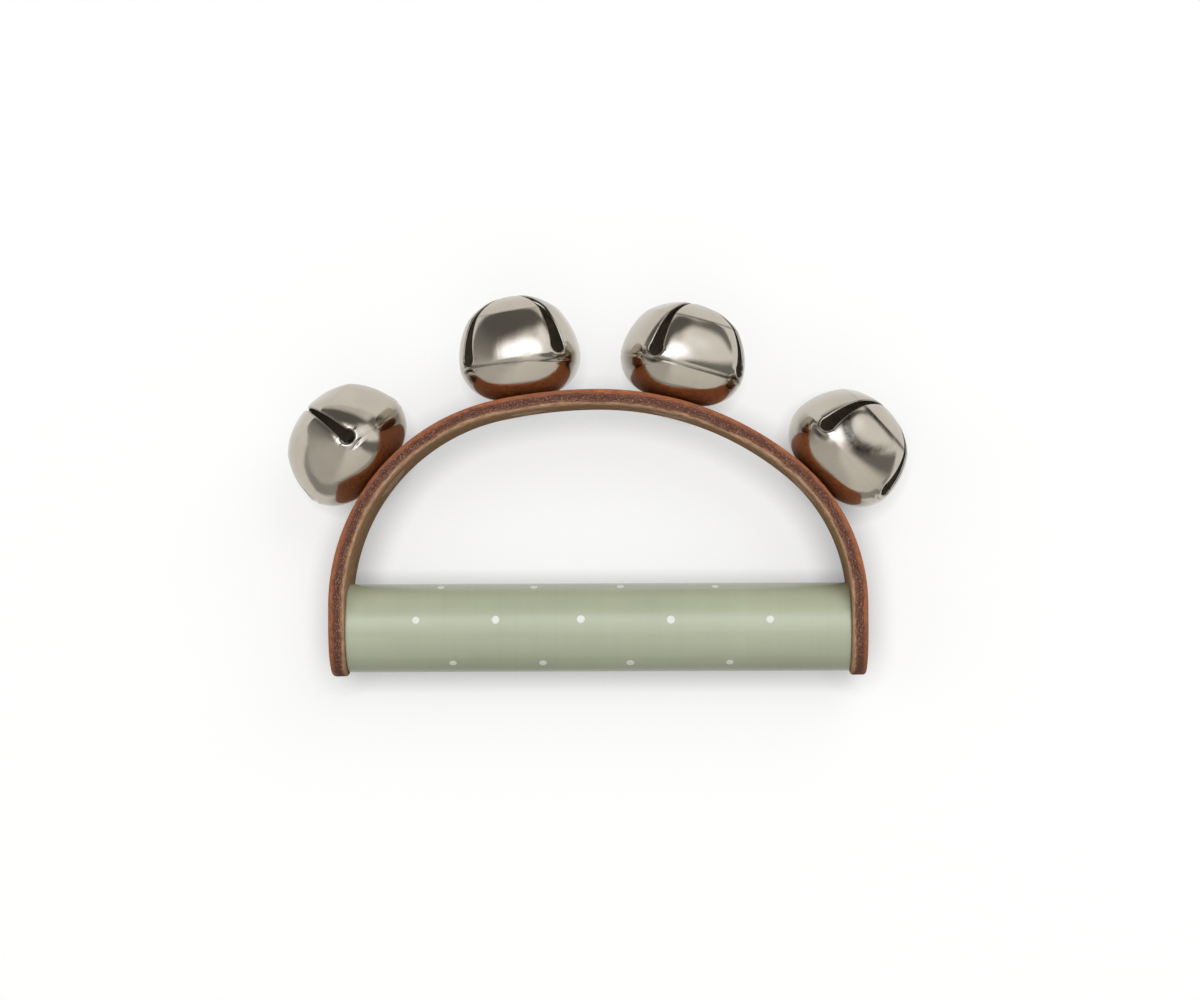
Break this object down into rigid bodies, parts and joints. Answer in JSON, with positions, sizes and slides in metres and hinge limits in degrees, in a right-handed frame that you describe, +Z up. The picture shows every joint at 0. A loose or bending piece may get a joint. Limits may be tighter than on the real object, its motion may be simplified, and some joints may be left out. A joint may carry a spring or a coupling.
{
  "type": "hand jingle handle",
  "caption": "Hand-held jingle: painted wooden dowel, arched leather strap screwed to its ends, and cross-slotted metal bells riveted along the arch, each free to turn with a loose ball inside.",
  "frame": {"origin": "middle of the handle, on its axis", "axes": "+X along the handle to the picture's right, +Y from the handle to the bells in the plane of the arch, +Z up, across the strap, towards the picture's camera: the part lies on its side"},
  "size_m": [0.1546, 0.0944, 0.0322],
  "materials": {
    "painted_wood": "satin sage green paint with small white dots",
    "strap_leather": "brown saddle leather with darkened edges",
    "bell_nickel": "bright nickel plate on steel sheet",
    "pellet_steel": "plain steel",
    "rivet_brass": "browned antique brass, dull",
    "screw_steel": "zinc plate"
  },
  "bodies": {
    "grip": {"handle": "painted_wood", "leather_strap": "strap_leather", "handle_screw_left": "screw_steel", "handle_screw_right": "screw_steel", "rivet_outer_left": "rivet_brass", "rivet_inner_left": "rivet_brass", "rivet_inner_right": "rivet_brass", "rivet_outer_right": "rivet_brass", "rivet_washer_outer_left": "rivet_brass", "rivet_washer_inner_left": "rivet_brass", "rivet_washer_inner_right": "rivet_brass", "rivet_washer_outer_right": "rivet_brass"},
    "bell_outer_left": {"bell_shell_outer_left": "bell_nickel"},
    "ball_outer_left": {"pellet_outer_left": "pellet_steel"},
    "bell_inner_left": {"bell_shell_inner_left": "bell_nickel"},
    "ball_inner_left": {"pellet_inner_left": "pellet_steel"},
    "bell_inner_right": {"bell_shell_inner_right": "bell_nickel"},
    "ball_inner_right": {"pellet_inner_right": "pellet_steel"},
    "bell_outer_right": {"bell_shell_outer_right": "bell_nickel"},
    "ball_outer_right": {"pellet_outer_right": "pellet_steel"}
  },
  "joints": [
    {"name": "bell_spin_outer_left", "type": "hinge", "parent": "grip", "child": "bell_outer_left", "pos_m": [-0.05446, 0.039, 0], "axis": [-0.766, 0.6428, 0], "continuous": true},
    {"name": "pellet_rattle_outer_left", "type": "slide", "parent": "bell_outer_left", "child": "ball_outer_left", "axis": [0, 0, 1], "range_m": [0, 0.0233]},
    {"name": "bell_spin_inner_left", "type": "hinge", "parent": "grip", "child": "bell_inner_left", "pos_m": [-0.01803, 0.05781, 0], "axis": [-0.1478, 0.989, 0], "continuous": true},
    {"name": "pellet_rattle_inner_left", "type": "slide", "parent": "bell_inner_left", "child": "ball_inner_left", "axis": [0, 0, 1], "range_m": [0, 0.02172]},
    {"name": "bell_spin_inner_right", "type": "hinge", "parent": "grip", "child": "bell_inner_right", "pos_m": [0.01887, 0.05683, 0], "axis": [0.2419, 0.9703, 0], "continuous": true},
    {"name": "pellet_rattle_inner_right", "type": "slide", "parent": "bell_inner_right", "child": "ball_inner_right", "axis": [0, 0, 1], "range_m": [0, 0.02209]},
    {"name": "bell_spin_outer_right", "type": "hinge", "parent": "grip", "child": "bell_outer_right", "pos_m": [0.05424, 0.03702, 0], "axis": [0.7314, 0.682, 0], "continuous": true},
    {"name": "pellet_rattle_outer_right", "type": "slide", "parent": "bell_outer_right", "child": "ball_outer_right", "axis": [0, 0, 1], "range_m": [0, 0.02197]}
  ]
}
